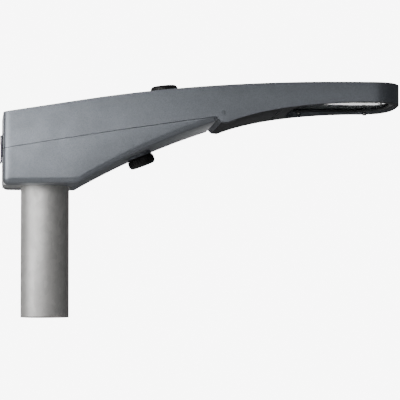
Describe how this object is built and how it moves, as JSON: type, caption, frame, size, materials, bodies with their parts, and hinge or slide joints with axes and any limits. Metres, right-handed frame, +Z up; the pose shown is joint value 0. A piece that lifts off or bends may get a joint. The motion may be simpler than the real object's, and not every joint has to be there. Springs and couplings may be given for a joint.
{
  "type": "solar street lamp",
  "caption": "Pole-top solar street lamp: deep rear body with a hinged underside cover that thins into a flat lamp head, on a round pole end.",
  "frame": {"origin": "centre of the pole section's lower cut end", "axes": "+X from the pole to the tip of the lamp head, +Y across the head, +Z up along the pole"},
  "size_m": [0.6291, 0.24, 0.3677],
  "materials": {
    "body_paint": "satin blue-grey metallic powder coat, very fine texture",
    "dark_paint": "matt dark grey powder coat",
    "galvanised": "hot-dip galvanised, dull soft spangle",
    "cast_alloy": "raw die-cast, matt",
    "steel": "stainless, satin",
    "black_plastic": "fine moulded texture",
    "grey_plastic": "moulded",
    "rubber": "matt",
    "window_glass": "clear toughened glass, smooth",
    "lens_acrylic": "clear moulded acrylic",
    "white_board": "white solder mask",
    "green_board": "green solder mask",
    "solar_laminate": "dark blue-black cells under a fine satin film",
    "cell_wrap": "shrink sleeve",
    "cable_jacket": "smooth jacket"
  },
  "bodies": {
    "lamp": {"pole": "galvanised", "pole_clamp": "cast_alloy", "grip_screw_upper": "steel", "grip_screw_lower": "steel", "upper_housing": "body_paint", "cover_seal": "rubber", "hinge_pin_left": "steel", "hinge_pin_right": "steel", "latch_pin_left": "steel", "latch_pin_right": "steel", "top_socket_seal": "rubber", "top_socket": "black_plastic", "glass_frame": "dark_paint", "head_glass": "window_glass", "glass_seal": "rubber", "lens_plate": "lens_acrylic", "led_board": "white_board", "solar_panel": "solar_laminate", "panel_bed": "rubber", "panel_junction_box": "black_plastic", "neck_lid": "dark_paint", "gear_tray": "steel", "battery_holder": "grey_plastic", "battery_board": "green_board", "charge_controller": "grey_plastic", "terminal_block": "black_plastic", "led_lead": "cable_jacket", "panel_lead": "cable_jacket", "clamp_bolt_1": "steel", "frame_screw_1": "steel", "tray_screw_1": "steel", "clamp_bolt_2": "steel", "frame_screw_2": "steel", "tray_screw_2": "steel", "clamp_bolt_3": "steel", "frame_screw_3": "steel", "tray_screw_3": "steel", "clamp_bolt_4": "steel", "frame_screw_4": "steel", "tray_screw_4": "steel", "battery_cell_1_left": "cell_wrap", "battery_cell_1_right": "cell_wrap", "battery_cell_2_left": "cell_wrap", "battery_cell_2_right": "cell_wrap", "battery_cell_3_left": "cell_wrap", "battery_cell_3_right": "cell_wrap"},
    "cover": {"lower_cover": "body_paint", "low_socket_seal": "rubber", "low_socket": "black_plastic"},
    "low_cap": {"low_socket_cap": "black_plastic"},
    "top_cap": {"top_socket_cap": "black_plastic"},
    "left_latch": {"latch_left": "dark_paint"},
    "right_latch": {"latch_right": "dark_paint"}
  },
  "joints": [
    {"name": "cover_hinge", "type": "hinge", "parent": "lamp", "child": "cover", "pos_m": [0.272, 0, 0.3144], "axis": [0, -1, 0], "range_deg": [0, 60]},
    {"name": "left_latch_hinge", "type": "hinge", "parent": "lamp", "child": "left_latch", "pos_m": [-0.0655, -0.06, 0.281], "axis": [0, 1, 0], "range_deg": [0, 100]},
    {"name": "right_latch_hinge", "type": "hinge", "parent": "lamp", "child": "right_latch", "pos_m": [-0.0655, 0.06, 0.281], "axis": [0, 1, 0], "range_deg": [0, 100]},
    {"name": "low_cap_twist", "type": "hinge", "parent": "cover", "child": "low_cap", "pos_m": [0.1495, 0, 0.25351], "axis": [0.35, 0, -0.9368], "range_deg": [0, 35]},
    {"name": "top_cap_twist", "type": "hinge", "parent": "lamp", "child": "top_cap", "pos_m": [0.189, 0, 0.3514], "axis": [-0.094, 0, 0.9956], "range_deg": [0, 35]}
  ]
}
